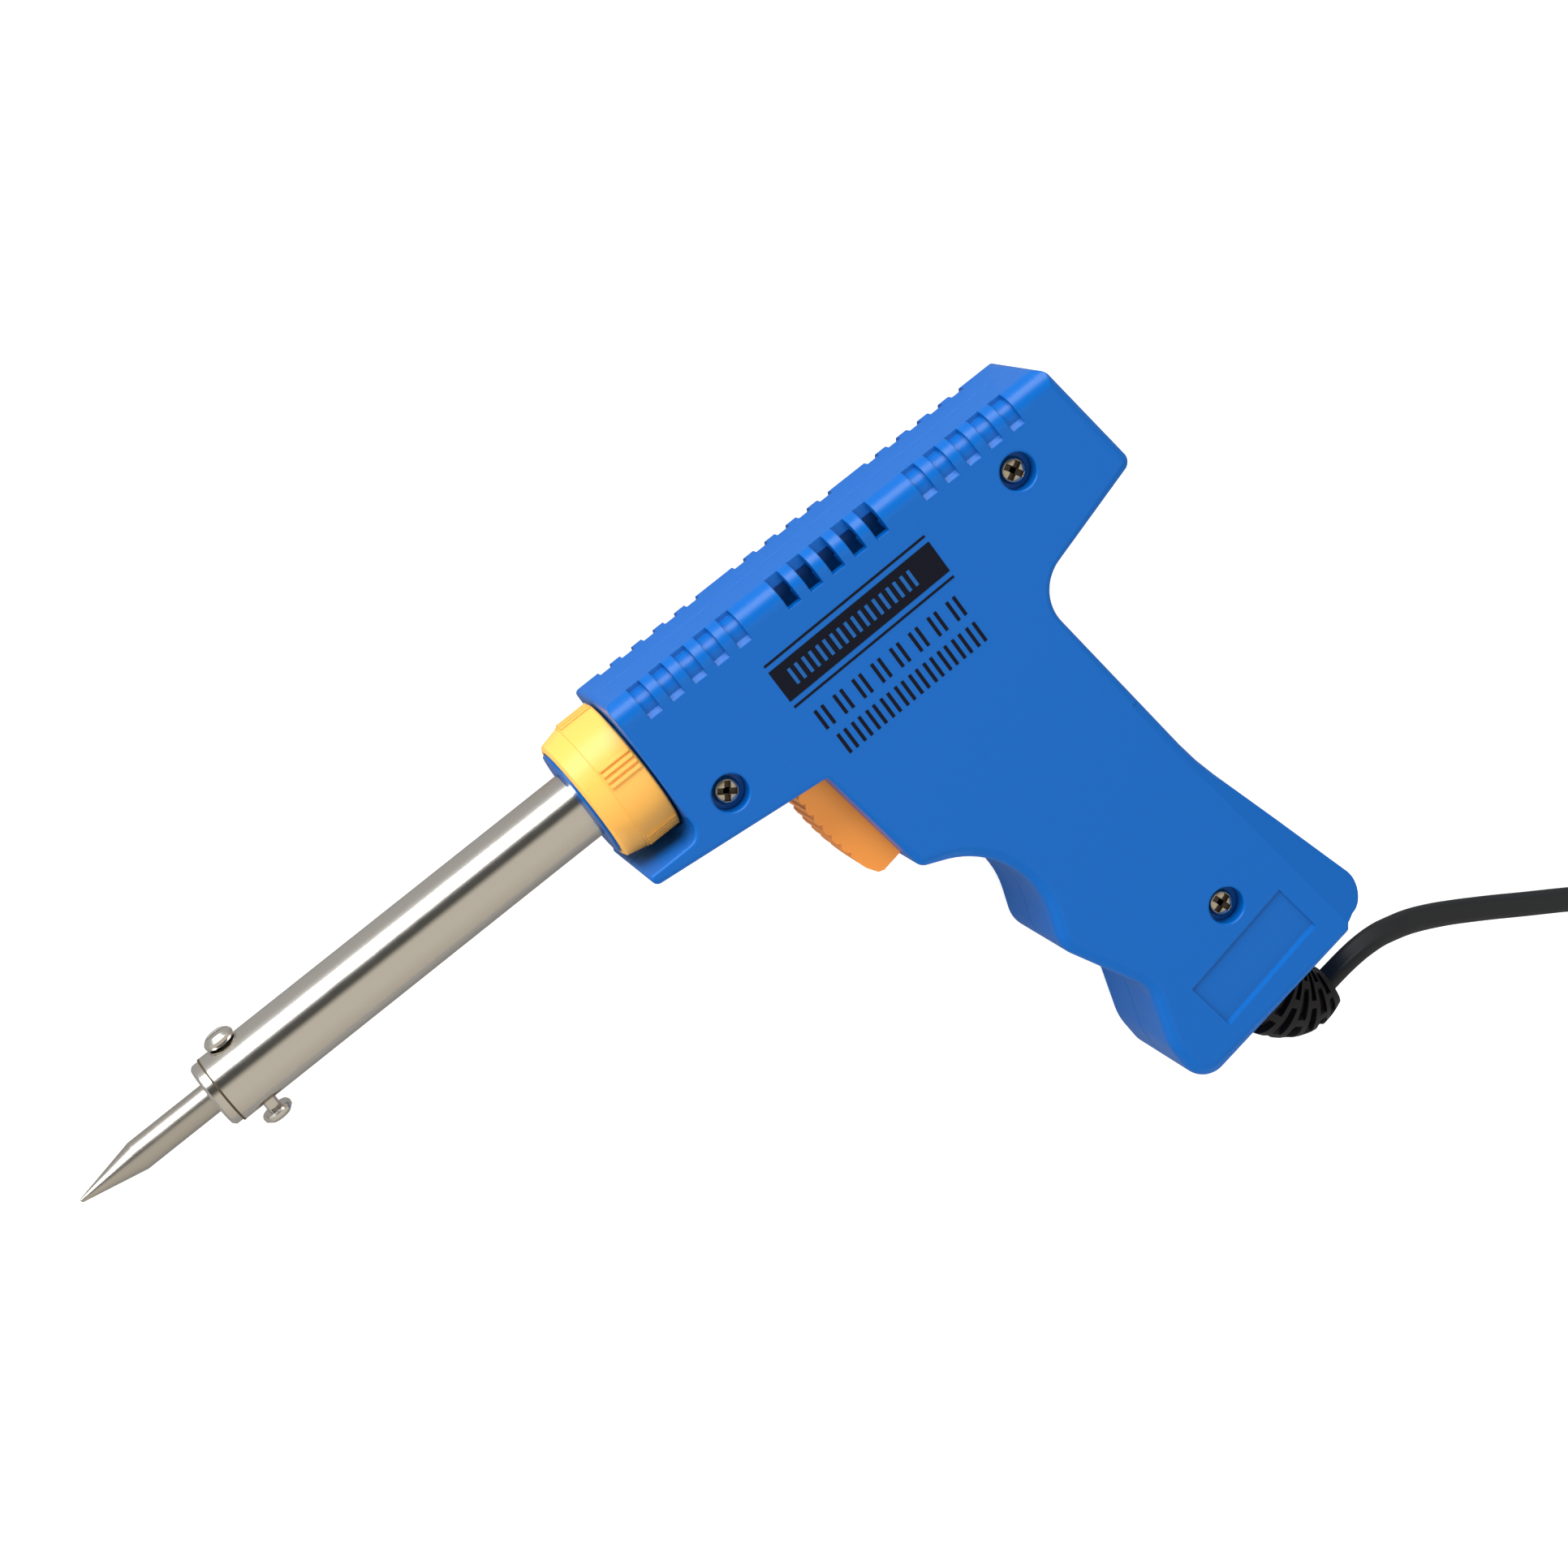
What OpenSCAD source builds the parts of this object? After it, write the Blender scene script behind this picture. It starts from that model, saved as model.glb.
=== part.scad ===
// Pistol-grip soldering iron with a two-level trigger, lying on its right side.
// Design frame of the modules: barrel axis along X with the tip towards -X, Y up the back of the
// gun, Z out of the left side, parting plane at z = 0. place() moves it to the part's own frame.

/* [Housing] */
// Half thickness, from the parting plane to a side face
half_t = 16; // [15.5:0.5:18]
// Height of the top face above the barrel axis
top_y = 15.3; // [15:0.1:16.5]
// Wall thickness of the two shells
wall = 2.5; // [2:0.1:2.8]
// Radius of the long top shoulders
shoulder_r = 5; // [4:0.5:6]
// Depth of the blind vent recesses
vent_depth = 1.1; // [0.5:0.1:1.3]
// Width of one vent
vent_w = 3; // [2.4:0.1:3.4]
// Distance from one vent to the next
vent_pitch = 5.4; // [5:0.1:5.5]

/* [Barrel] */
// Outer radius of the steel barrel tube
tube_r = 7.3; // [7:0.1:7.4]
// Wall thickness of the barrel tube
tube_wall = 0.8; // [0.6:0.1:0.8]
// Distance from the housing to the front of the tube
tube_front = 99.7; // [95:0.1:105]
// Radius of the tip's straight shank
tip_r = 3.2; // [3:0.1:3.3]
// Distance from the housing to the point of the tip
tip_reach = 133.4; // [125:0.1:140]
// Length of the conical point
cone_len = 13.6; // [8:0.1:16]

/* [Collar] */
// Outer radius of the twist collar
collar_r = 14.5; // [14:0.1:14.8]
// Inner radius of the twist collar
collar_bore = 12; // [11.9:0.1:12.4]
// Radius of the round nose that carries the collar
nose_r = 11.7; // [11:0.1:11.7]

/* [Trigger] */
// Half width of the trigger
trigger_w = 7; // [6:0.1:7]
// Travel of the trigger
trigger_travel = 3; // [2:0.5:3]
// Radius of the trigger's bowed front
trigger_bow = 55; // [45:1:80]

/* [Mains lead] */
// Width of the flat two-core lead
lead_w = 5.4; // [5:0.1:5.6]
// Thickness of the flat two-core lead
lead_t = 3.4; // [3:0.1:3.6]
// Radius of the coil at the middle of its turns
coil_r = 28.4; // [27:0.1:32]
// Turns that lie side by side in the coil
coil_columns = 3; // [3:1:3]
// Layers of turns in the coil
coil_layers = 3; // [3:1:3]

/* [Hidden] */
$fn = 48;
eps = 0.01;

// Side outline of the housing, clockwise: x, y, corner radius, edge rounding
face_x = 0.8;
rear_x = 112;
jaw_x = -11.7;
jaw_y = -15.4;
side_outline = [
    [face_x, top_y, 1.5, 1.2], [107.7, top_y, 3, 2.4], [rear_x, -10.9, 2.4, 2],
    [81.1, -19.4, 9, 1.2], [88.6, -68, 60, 2.4], [103.9, -114.4, 5.5, 2.4],
    [95.2, -115.6, 0.6, 0.6], [94.6, -117.1, 1.2, 1], [51.4, -124.2, 5.5, 3],
    [50.6, -112.5, 12, 2.6], [54.3, -99.3, 7, 2.6], [44.4, -80.8, 6.5, 2.6],
    [51.7, -58.4, 19, 2.6], [31.4, -48.6, 2.5, 2], [27, -22.2, 1, 0.8],
    [jaw_x, -17.8, 1.4, 1.1], [jaw_x - 0.5, jaw_y, 0.9, 0.7], [face_x, jaw_y, 3, 0.8]];
cavity_outline = [
    [3.3, top_y - wall], [104.8, top_y - wall], [109.1, -8.9], [78.6, -17.2], [79.4, -27.5],
    [86, -69], [99, -107], [94.5, -112.6], [57, -119.4], [53.9, -112], [57.5, -99],
    [48, -80.6], [50.6, -70.5], [50, -62.5], [46, -53.2], [34.1, -47.4], [29.9, -20],
    [3.3, -16.8]];
edge_steps = [0, 28, 54, 79];
arc_step = 15;

// Sloping band along the rear of the grip, wider towards its foot
facet_at = [83.9, -50];
facet_turn = -80.4;
facet_slope = 25;

screw_spots = [[91.9, 2.1], [10.2, -12.3], [76.6, -95.6]];
counterbore_r = 3.8;
column_r = 5.2;
head_seat = 11.8;
head_r = 2.7;
head_h = 1.9;
screw_r = 1.45;
boss_r = 3.6;

vent_groups = [7.9, 41.6, 75.3];
vents_in_group = 5;
vent_low = 8.9;
left_vent_in = 11.3;
right_vent_in = 9.3;
vent_ramp = 1;

flange_x = 3.6;
flange_t = 1.6;
flange_r = 9.2;
tube_rear = 6.4;
collar_front = -12.2;
collar_rear = 0.3;

trigger_at = [29.4, -34.5];
trigger_tilt = 9.2;
trigger_top = 11.6;
trigger_low = -12;
trigger_out = 7.9;
post_end = 8.6;

grip_base_at = [76, -120.2];
base_tilt = 9.5;

// Bent strain relief: it turns about relief_centre, s runs from 0 at the housing to 1 at its end
relief_bend_r = 12.7;
relief_turn = 77;
relief_radii = [9.4, 9.4, 9.3, 9.1, 8.8, 8.4, 7.8, 7, 5.8, 4.6];
relief_centre = grip_base_at + relief_bend_r * [cos(base_tilt), sin(base_tilt)];
function relief_angle(s) = 180 + base_tilt + relief_turn * s;
function relief_point(s) =
    [relief_centre.x + relief_bend_r * cos(relief_angle(s)),
     relief_centre.y + relief_bend_r * sin(relief_angle(s)), 0];
function relief_heading(s) = [-sin(relief_angle(s)), cos(relief_angle(s)), 0];
relief_low = min([for (i = [0:len(relief_radii) - 1])
    let (s = i / (len(relief_radii) - 1))
    relief_centre.y + (relief_bend_r + relief_radii[i]) * sin(relief_angle(s))]);

floor_z = -half_t;
lead_z = floor_z + lead_t / 2;
coil_at = [198, -157];
column_pitch = lead_w + 0.2;
layer_pitch = lead_t + 0.1;
coil_half = column_pitch * coil_columns / 2;
coil_h = layer_pitch * coil_layers;
plug_x = coil_at.x + coil_r + column_pitch;
plug_y = -104;
plug_axis_z = floor_z + 6.9;
// Route of the free stretch, from the strain relief to the coil: x, y, z, twist of the flat side
lead_route = [
    [87.4, -130.2, 0, 60], [92, -129.8, -0.4, 60], [97.5, -130, -1.6, 55], [103, -131.2, -3.5, 45],
    [107.5, -133.2, -5.6, 35], [112, -135.6, -7.7, 25], [117, -138.9, -10, 15],
    [122, -142.5, -12, 5], [126.5, -145.8, -13.3, 0], [131, -149, -14, 0], [137, -153.2, lead_z, 0],
    [145.6, -159, lead_z, 0], [154, -165, lead_z, 0], [162, -171.5, lead_z, 0],
    [169.5, -178, lead_z, 0], [177, -183.8, lead_z, 0]];
plug_route = [
    [plug_x, coil_at.y, floor_z + coil_h - lead_t / 2, 0],
    [plug_x, coil_at.y + 9, floor_z + coil_h - lead_t / 2, 0],
    [plug_x, coil_at.y + 20, plug_axis_z, 0], [plug_x, coil_at.y + 32, plug_axis_z, 0],
    [plug_x, plug_y - 11, plug_axis_z, 0]];

// The part's own frame: origin at the bottom centre of the object without its cord
mid_x = (rear_x - tip_reach) / 2;
mid_y = (top_y + relief_low) / 2;
module place() translate([-mid_x, -mid_y, half_t]) children();

// ---------------------------------------------------------------- outline and loft functions
function unit(v) = v / norm(v);

// Arc that rounds corner p between a and b; each point also has its outward normal and rounding
function corner(a, p, b, r, edge, step) =
    let (u = unit(a - p),
         v = unit(b - p),
         half = acos(u * v) / 2,
         centre = p + unit(u + v) * r / sin(half),
         first = p + u * r / tan(half) - centre,
         convex = cross(p - a, b - p) < 0,
         turn = 180 - 2 * half,
         count = max(1, ceil(turn / step)),
         start = atan2(first.y, first.x),
         way = convex ? -1 : 1)
    [for (i = [0:count])
        let (q = start + way * turn * i / count, m = [cos(q), sin(q)])
        [centre.x + r * m.x, centre.y + r * m.y, -way * m.x, -way * m.y, edge]];

function rounded_outline(v, step) =
    [for (i = [0:len(v) - 1])
        let (a = v[(i + len(v) - 1) % len(v)], p = v[i], b = v[(i + 1) % len(v)])
        each corner([a.x, a.y], [p.x, p.y], [b.x, b.y], p[2], p[3], step)];

// One ring of the rounded edge: angle 0 is the widest outline
function edge_ring(o, angle) = ramp_ring(o, 1 - cos(angle), 1 - sin(angle));

// Ring inset by the share a of each point's rounding, and lower than the side face by the share b
function ramp_ring(o, a, b) =
    [for (q = o)
        [q.x - q[2] * q[4] * a, q.y - q[3] * q[4] * a, half_t - q[4] * b]];

function flat_ring(o, z) = [for (q = o) [q.x, q.y, z]];

// Closed solid through rings of the same number of points, listed clockwise seen from +Z
module loft(rings) {
    n = len(rings[0]);
    m = len(rings);
    sides = [for (k = [0:m - 2]) for (i = [0:n - 1])
        let (a = k * n + i, b = k * n + (i + 1) % n, c = a + n, d = b + n)
        each [[a, d, c], [a, b, d]]];
    polyhedron(points = [for (r = rings) each r],
               faces = concat(sides, [[for (i = [n - 1:-1:0]) i]],
                              [[for (i = [0:n - 1]) (m - 1) * n + i]]));
}

// Direction of a route at point i
function heading(p, i) =
    let (a = p[max(i - 1, 0)], b = p[min(i + 1, len(p) - 1)])
    unit([b.x - a.x, b.y - a.y, b.z - a.z]);

// Ring of an oval section, w wide and t thick, across a route; twist turns the wide side up
function oval_ring(at, dir, w, t, twist, n) =
    let (side = unit(cross(dir, [0, 0, 1])),
         up = cross(side, dir),
         a = side * cos(twist) + up * sin(twist),
         b = up * cos(twist) - side * sin(twist))
    [for (i = [0:n - 1])
        let (q = 360 * i / n)
        [at.x, at.y, at.z] + a * w / 2 * cos(q) + b * t / 2 * sin(q)];

module sweep(rings) {
    n = len(rings[0]);
    m = len(rings);
    sides = [for (k = [0:m - 2]) for (i = [0:n - 1])
        let (j = (i + 1) % n, a = k * n + i, b = k * n + j, c = a + n, d = b + n)
        each [[a, b, d], [a, d, c]]];
    polyhedron(points = [for (r = rings) each r],
               faces = concat(sides, [[for (i = [n - 1:-1:0]) i]],
                              [[for (i = [0:n - 1]) (m - 1) * n + i]]));
}

module flat_lead(route)
    sweep([for (i = [0:len(route) - 1])
        oval_ring(route[i], heading(route, i), lead_w, lead_t, route[i][3], 8)]);

module wire(route, r)
    sweep([for (i = [0:len(route) - 1])
        oval_ring(route[i], heading(route, i), 2 * r, 2 * r, 0, 6)]);

// Helical spring or winding along X, from x = 0
module helix(r, wire_r, length, turns, per_turn, sides) {
    steps = turns * per_turn;
    path = [for (i = [0:steps])
        let (q = 360 * i / per_turn)
        [length * i / steps, r * cos(q), r * sin(q)]];
    sweep([for (i = [0:steps])
        let (q = 360 * i / per_turn, out = [0, cos(q), sin(q)], dir = heading(path, i),
             side = cross(dir, out))
        [for (k = [0:sides - 1])
            path[i] + (out * cos(360 * k / sides) - side * sin(360 * k / sides)) * wire_r]]);
}

// Cylinder along X from x = from to x = to
module along_x(r, from, to)
    translate([from, 0, 0]) rotate([0, 90, 0]) cylinder(r = r, h = to - from);

// Cylinder along the trigger's direction of travel
module at_trigger() translate(trigger_at) rotate([0, 0, trigger_tilt]) children();

// ---------------------------------------------------------------- housing
// Side form with rounded edges; it runs past the parting plane and past the flat side face
module side_form() {
    o = rounded_outline(side_outline, arc_step);
    loft(concat([flat_ring(o, -2)], [for (q = edge_steps) edge_ring(o, q)], [ramp_ring(o, 1.15, -0.06)]));
}

// Block along X with the rounded top shoulder, shrunk by inset; its top face stands out by over
module shoulder_block(inset, over, low) {
    r = shoulder_r - inset;
    y = top_y - inset - r;
    z = half_t - inset - r;
    translate([-20, 0, 0]) difference() {
        translate([0, -140, low]) cube([150, 140 + y + r + over, z + r - low]);
        difference() {
            translate([-1, y, z]) cube([152, r + over + 1, r + 1]);
            translate([-2, y, z]) rotate([0, 90, 0]) cylinder(r = r + over / 40, h = 154);
        }
    }
}

module rear_facet()
    translate([facet_at.x, facet_at.y, half_t]) rotate([0, 0, facet_turn])
        rotate([-facet_slope, 0, 0]) cube([80, 20, 9]);

module cavity()
    difference() {
        intersection() {
            translate([0, 0, -eps]) linear_extrude(half_t - wall + eps) polygon(cavity_outline);
            shoulder_block(wall, 2, -1);
        }
        translate([0, 0, -wall]) rear_facet();
    }

// Side view of a blind vent: a ramp on the side face, the shoulder, and an end wall at z = in
vent_bend_r = shoulder_r - vent_depth;
function vent_form(in) = concat(
    [[vent_low, half_t], [vent_low + vent_ramp, half_t - vent_depth]],
    [for (q = [0:15:75])
        [top_y - shoulder_r + vent_bend_r * sin(q), half_t - shoulder_r + vent_bend_r * cos(q)]],
    [[top_y - vent_depth, in], [top_y + 1, in], [top_y + 1, half_t + 1], [vent_low, half_t + 1]]);

module blind_vents(in)
    for (g = [vent_groups[0], vent_groups[2]])
        for (i = [0:vents_in_group - 1])
            translate([g + i * vent_pitch - vent_w / 2, 0, 0]) rotate([90, 0, 90])
                linear_extrude(vent_w) polygon(vent_form(in));

module open_vents(in)
    for (i = [0:vents_in_group - 1])
        translate([vent_groups[1] + i * vent_pitch - vent_w / 2, vent_low, in])
            cube([vent_w, top_y - vent_low + 1, half_t - in + 1]);

// Round nose and the ribs that grip the tube's flange, upper half
module nose_half()
    intersection() {
        union() {
            along_x(nose_r, -12.7, face_x + 1);
            along_x(12, 3, 7.2);
        }
        translate([-20, -20, 0]) cube([60, 40, 20]);
    }

module base_hole()
    translate([grip_base_at.x, grip_base_at.y, 0]) rotate([90, 0, base_tilt]) {
        translate([0, 0, -6]) cylinder(r = 8.9, h = 12);
        cylinder(r = 9.7, h = 3);
    }

// Everything the two shells have in common, as the half with z > 0; vents end at z = in
module shell_half(in) {
    difference() {
        union() {
            difference() {
                intersection() {
                    side_form();
                    shoulder_block(0, 2, 0);
                }
                cavity();
                along_x(collar_r + 0.75, -13, face_x);
            }
            nose_half();
            // long rib and baffle behind the open vents
            translate([38, 9.2, 11.6]) cube([30, 1.6, 2.2]);
            translate([37.6, 6, 7.5]) cube([30.6, top_y - wall - 5.4, 1.4]);
            // ribs that hold the switch
            at_trigger() for (a = [14.5, 27.5])
                translate([a, -9, 6.7]) cube([2, 16, half_t - 6.7 - 1]);
            // ribs that hold the terminal block
            for (x = [23, 34]) translate([x, -7, 8.2]) cube([2, 12, half_t - 8.2 - 1]);
        }
        rear_facet();
        blind_vents(in);
        open_vents(in);
        along_x(tube_seat_r + 0.1, -20, 8);
        along_x(flange_r + 0.2, flange_x - 0.1, flange_x + flange_t + 0.1);
        at_trigger() translate([-4, -12.5, -1]) cube([7.2, 24.6, trigger_w + 0.4 + 1]);
        base_hole();
        // shallow panel near the foot of the grip
        translate([75.1, -108.1, half_t - 0.4]) rotate([0, 0, 10.2])
            translate([-13.3, -5.7, 0]) cube([26.6, 11.4, 1]);
    }
}

module left_shell()
    color("royalblue") difference() {
        union() {
            shell_half(left_vent_in);
            for (s = screw_spots)
                translate([s.x, s.y, 0.05]) cylinder(r = column_r, h = half_t - 1);
        }
        for (s = screw_spots) translate([s.x, s.y, -1]) {
            cylinder(r = screw_r + 0.15, h = half_t + 2);
            translate([0, 0, head_seat + 1]) cylinder(r = counterbore_r, h = half_t);
        }
    }

module right_shell()
    color("royalblue") mirror([0, 0, 1]) difference() {
        union() {
            shell_half(right_vent_in);
            for (s = screw_spots)
                translate([s.x, s.y, 0.05]) cylinder(r = boss_r, h = half_t - 1);
        }
        for (s = screw_spots)
            translate([s.x, s.y, -1]) cylinder(r = screw_r + 0.05, h = 11);
    }

module cross_recess(size, depth)
    for (q = [0, 90])
        rotate([0, 0, q]) translate([-size / 2, -size / 7, -depth])
            cube([size, size / 3.5, depth + 1]);

module pan_screw(r, h, shank_r, shank)
    difference() {
        union() {
            cylinder(r1 = r, r2 = r * 0.86, h = h);
            translate([0, 0, -shank]) cylinder(r = shank_r, h = shank + eps);
        }
        translate([0, 0, h]) cross_recess(r * 1.25, h * 0.6);
    }

module housing_screws()
    color("silver") for (s = screw_spots)
        translate([s.x, s.y, head_seat]) pan_screw(head_r, head_h, screw_r, 20);

// ---------------------------------------------------------------- collar, barrel and heater
module collar_ring()
    color("orange") {
        rotate([0, 90, 0]) rotate_extrude($fn = 96) polygon([
            [collar_bore, collar_rear], [collar_bore, collar_front],
            [collar_r - 1.9, collar_front], [collar_r - 1.1, collar_front + 0.5],
            [collar_r - 0.25, -8], [collar_r - 0.25, -7.6], [collar_r, -7.5],
            [collar_r, collar_rear - 0.3], [collar_r - 0.3, collar_rear]]);
        for (g = [0:4])
            for (i = [-1.5:1.5])
                rotate([-18.5 - 72 * g - 5 * i, 0, 0])
                    translate([-7.2, -0.35, collar_r - 0.4]) cube([7.1, 0.7, 0.8]);
    }

clamp_x = -94.3;
free_end = -13;
tip_seat_r = tip_r - 0.3;

module across_barrel(r)
    translate([clamp_x, 0, 0]) rotate([90, 0, 0]) cylinder(r = r, h = 20, center = true);

// The tube is turned down where the nose holds it
tube_seat_r = tube_r - 0.3;

module barrel_tube()
    color("silver") difference() {
        union() {
            along_x(tube_r, -tube_front, free_end);
            along_x(tube_seat_r, free_end, tube_rear);
            along_x(flange_r, flange_x, flange_x + flange_t);
        }
        along_x(tube_r - tube_wall, -tube_front - 1, tube_rear + 1);
        across_barrel(1.8);
    }

module tip_socket()
    color("gainsboro") difference() {
        union() {
            along_x(tube_r - tube_wall - 0.05, -tube_front - 0.2, -88);
            translate([-tube_front - 2.5, 0, 0]) rotate([0, 90, 0]) rotate_extrude()
                polygon([[0, 0], [tube_r - 0.9, 0], [tube_r - 0.3, 0.6],
                         [tube_r - 0.3, 2.3], [0, 2.3]]);
        }
        along_x(tip_seat_r + 0.05, -110, -80);
        across_barrel(1.5);
    }

// The tip's shank is turned down where the socket holds it
tip_free = tip_reach - tube_front - 2.7;

module soldering_tip()
    color("lightgray") translate([-tip_reach, 0, 0]) rotate([0, 90, 0]) rotate_extrude()
        polygon([[0, 0], [0.45, 0.3], [tip_r, cone_len], [tip_r, tip_free], [tip_seat_r, tip_free],
                 [tip_seat_r, 60], [tip_seat_r - 0.6, 60.6], [0, 60.6]]);

// Screw standing out of the barrel along +Y, its head's underside at y = seat
module clamp_screw(seat)
    translate([clamp_x, seat, 0]) rotate([-90, 0, 0]) {
        translate([0, 0, tip_seat_r + 0.05 - seat])
            cylinder(r = 1.45, h = seat - tip_seat_r - 0.05);
        difference() {
            rotate_extrude() polygon([[0, 0], [2.9, 0], [3.2, 0.5], [3.1, 1.2], [2.2, 2], [0, 2.3]]);
            translate([-4, -0.4, 1.2]) cube([8, 0.8, 2]);
        }
    }

module tip_clamp_screws()
    color("silver") {
        clamp_screw(tube_r + 0.2);
        mirror([0, 1, 0]) clamp_screw(tube_r + 2.1);
    }

former_front = -87.5;
former_rear = -30;

module heater_former()
    color("white") difference() {
        along_x(4.5, former_front, former_rear);
        along_x(tip_r + 0.2, former_front - 1, -70);
    }

module heater_winding()
    color("dimgray") translate([former_front + 3, 0, 0]) helix(4.9, 0.3, 50, 14, 10, 5);

module mica_sleeve()
    color("tan") difference() {
        along_x(6.1, former_front, former_rear + 2);
        along_x(5.6, former_front - 1, former_rear + 3);
    }

bead_hole = 2.6;

module rear_bead()
    color("ivory") difference() {
        along_x(tube_r - tube_wall - 0.1, -6, 2);
        for (s = [-1, 1])
            translate([0, 0, s * bead_hole]) along_x(1.1, -7, 3);
    }

module heater_leads()
    color("whitesmoke") for (s = [-1, 1])
        wire([[former_rear + 0.2, 0, s * bead_hole], [-18, 0, s * bead_hole],
              [-6, 0, s * bead_hole], [3, 0, s * bead_hole], [9, 0, s * 3],
              [14, -0.5, s * 3.8], [18, -1, s * 4], [20.9, -1, s * 4]], 0.8);

block_at = [21, -7, -8];
block_size = [18, 12, 16];

module terminal_block()
    color("ivory") difference() {
        translate(block_at) cube(block_size);
        for (s = [-1, 1]) {
            translate([0, -1, s * 4]) along_x(1.8, 20, 40);
            for (x = [25, 35])
                translate([x, -1, s * 4]) rotate([-90, 0, 0]) cylinder(r = 1.7, h = 10);
        }
    }

module terminal_screws()
    color("goldenrod") for (s = [-1, 1], x = [25, 35])
        translate([x, 1, s * 4]) rotate([-90, 0, 0]) difference() {
            cylinder(r = 1.6, h = 3.4);
            translate([-2, -0.3, 2.4]) cube([4, 0.6, 2]);
        }

// ---------------------------------------------------------------- trigger and switch
// Side view of the trigger: bowed front, rounded foot, flat back
function bow(v) = -trigger_out + trigger_bow - sqrt(trigger_bow * trigger_bow - v * v);

module trigger()
    color("orange") at_trigger() {
        difference() {
            translate([0, 0, -trigger_w]) linear_extrude(2 * trigger_w) polygon(concat(
                [[3, trigger_top], [bow(trigger_top) + 0.6, trigger_top]],
                [for (v = [trigger_top - 0.6:-2:trigger_low + 2]) [bow(v), v]],
                [[bow(trigger_low) + 0.5, trigger_low + 0.6], [bow(trigger_low) + 1.6, trigger_low],
                 [3, trigger_low]]));
            for (i = [0:5])
                translate([bow(9.3 - 2.76 * i), 9.3 - 2.76 * i, 0]) rotate([0, 0, 45])
                    cube([1, 1, 40], center = true);
        }
        translate([2.95, -13.4, -9.4]) cube([1.65, 26.4, 18.8]);
        along_x(3, 4.5, post_end);
    }

spring_front = 4.7;
switch_front = 13;

module trigger_spring()
    color("silver") at_trigger() translate([spring_front + 0.4, 0, 0])
        helix(4.1, 0.35, switch_front - spring_front - 0.8, 6, 12, 6);

module switch_body()
    color("dimgray") at_trigger() difference() {
        translate([switch_front, -9, -6.5]) cube([18, 16, 13]);
        along_x(2.3, switch_front - 1, 19.9);
    }

module switch_plunger()
    color("red") at_trigger() along_x(2.2, post_end + 0.05, 16);

module switch_terminals()
    color("goldenrod") at_trigger() for (v = [-5, 3])
        translate([switch_front + 18, v - 0.4, -2.2]) difference() {
            cube([5.5, 0.8, 4.4]);
            translate([3.6, -1, 2.2]) rotate([-90, 0, 0]) cylinder(r = 0.8, h = 3);
        }

module power_diode()
    color("black") at_trigger() {
        translate([41, -1, 0]) rotate([90, 0, 0]) cylinder(r = 2.5, h = 8, center = true);
        for (s = [-1, 1])
            wire([[35.4, s * 4 - 1 + s * 0.6, 4], [38, s * 5.2 - 1, 3.4], [40.3, s * 5.2 - 1, 1],
                  [41, s * 4.6 - 1, 0], [41, s * 3.9 - 1, 0]], 0.45);
    }

// Wires leave the terminals at their front edge and reach the block's rear mouths
module switched_wire()
    color("brown") wire([[63.2, -24.8, 2.8], [64, -20, 3], [60, -12, 4], [52, -5, 4.2],
                         [45, -2, 4], [39.1, -1, 4]], 1.1);

module neutral_wire()
    color("steelblue") wire([[67.5, -80.6, -1.4], [70, -66, -4], [73, -48, -8], [73, -28, -8.6],
                             [66, -12, -7], [55, -4, -5], [46, -1.6, -4], [39.1, -1, -4]], 1.1);

module live_wire()
    color("saddlebrown") wire([[67.5, -80.6, 1.4], [69, -68, 4], [69.5, -54, 5], [68, -42, 4.4],
                               [65.2, -34.5, 3.2]], 1.1);

// ---------------------------------------------------------------- cord, clamp and relief
module inner_lead()
    color("black") wire([[74.6, -114.2, 0], [73, -108, 0], [71.2, -103, 0], [68.5, -98.5, 0],
                         [67, -94, 0], [66.8, -88, 0], [67.5, -80.8, 0]], 2.3);

module at_clamp() translate([72.4, -106.4, 0]) rotate([0, 0, 20]) children();

module cord_clamp()
    color("dimgray") at_clamp() difference() {
        translate([-8, -2.5, 2.4]) cube([16, 5, 2.2]);
        for (x = [-6, 6]) translate([x, 0, 0]) cylinder(r = 1.4, h = 8);
    }

module cord_clamp_screws()
    color("silver") at_clamp() for (x = [-6, 6])
        translate([x, 0, 4.65]) pan_screw(2.2, 1.5, 1.3, 10);

module strain_relief()
    color("black") difference() {
        union() {
            sweep([for (i = [0:len(relief_radii) - 1])
                let (s = i / (len(relief_radii) - 1))
                oval_ring(relief_point(s), relief_heading(s), 2 * relief_radii[i],
                          2 * relief_radii[i], 0, 20)]);
            translate([grip_base_at.x, grip_base_at.y, 0]) rotate([-90, 0, base_tilt]) {
                translate([0, 0, -0.5]) cylinder(r = 8.7, h = 5.5);
                translate([0, 0, 4.4]) cylinder(r = 9.8, h = 2);
            }
        }
        translate([grip_base_at.x, grip_base_at.y, 0]) rotate([-90, 0, base_tilt])
            translate([0, 0, 5.8]) cylinder(r = 2.5, h = 3);
    }

module mains_lead() color("black") flat_lead(lead_route);

module plug_lead() color("black") flat_lead(plug_route);

module cord_coil()
    color("black") difference() {
        translate([coil_at.x, coil_at.y, floor_z]) rotate_extrude($fn = 96)
            translate([coil_r - coil_half, 0]) square([2 * coil_half, coil_h]);
        tie_path(0);
    }

// Flat strap around the coil's section
module tie_path(inset)
    translate([coil_at.x, coil_at.y, floor_z]) rotate([0, 0, 150])
        translate([coil_r, 0, coil_h / 2]) rotate([90, 0, 0]) difference() {
            cube([2 * coil_half + 0.1, coil_h + 0.1, 6 - inset], center = true);
            cube([2 * coil_half - 1, coil_h - 1, 7], center = true);
        }

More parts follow.
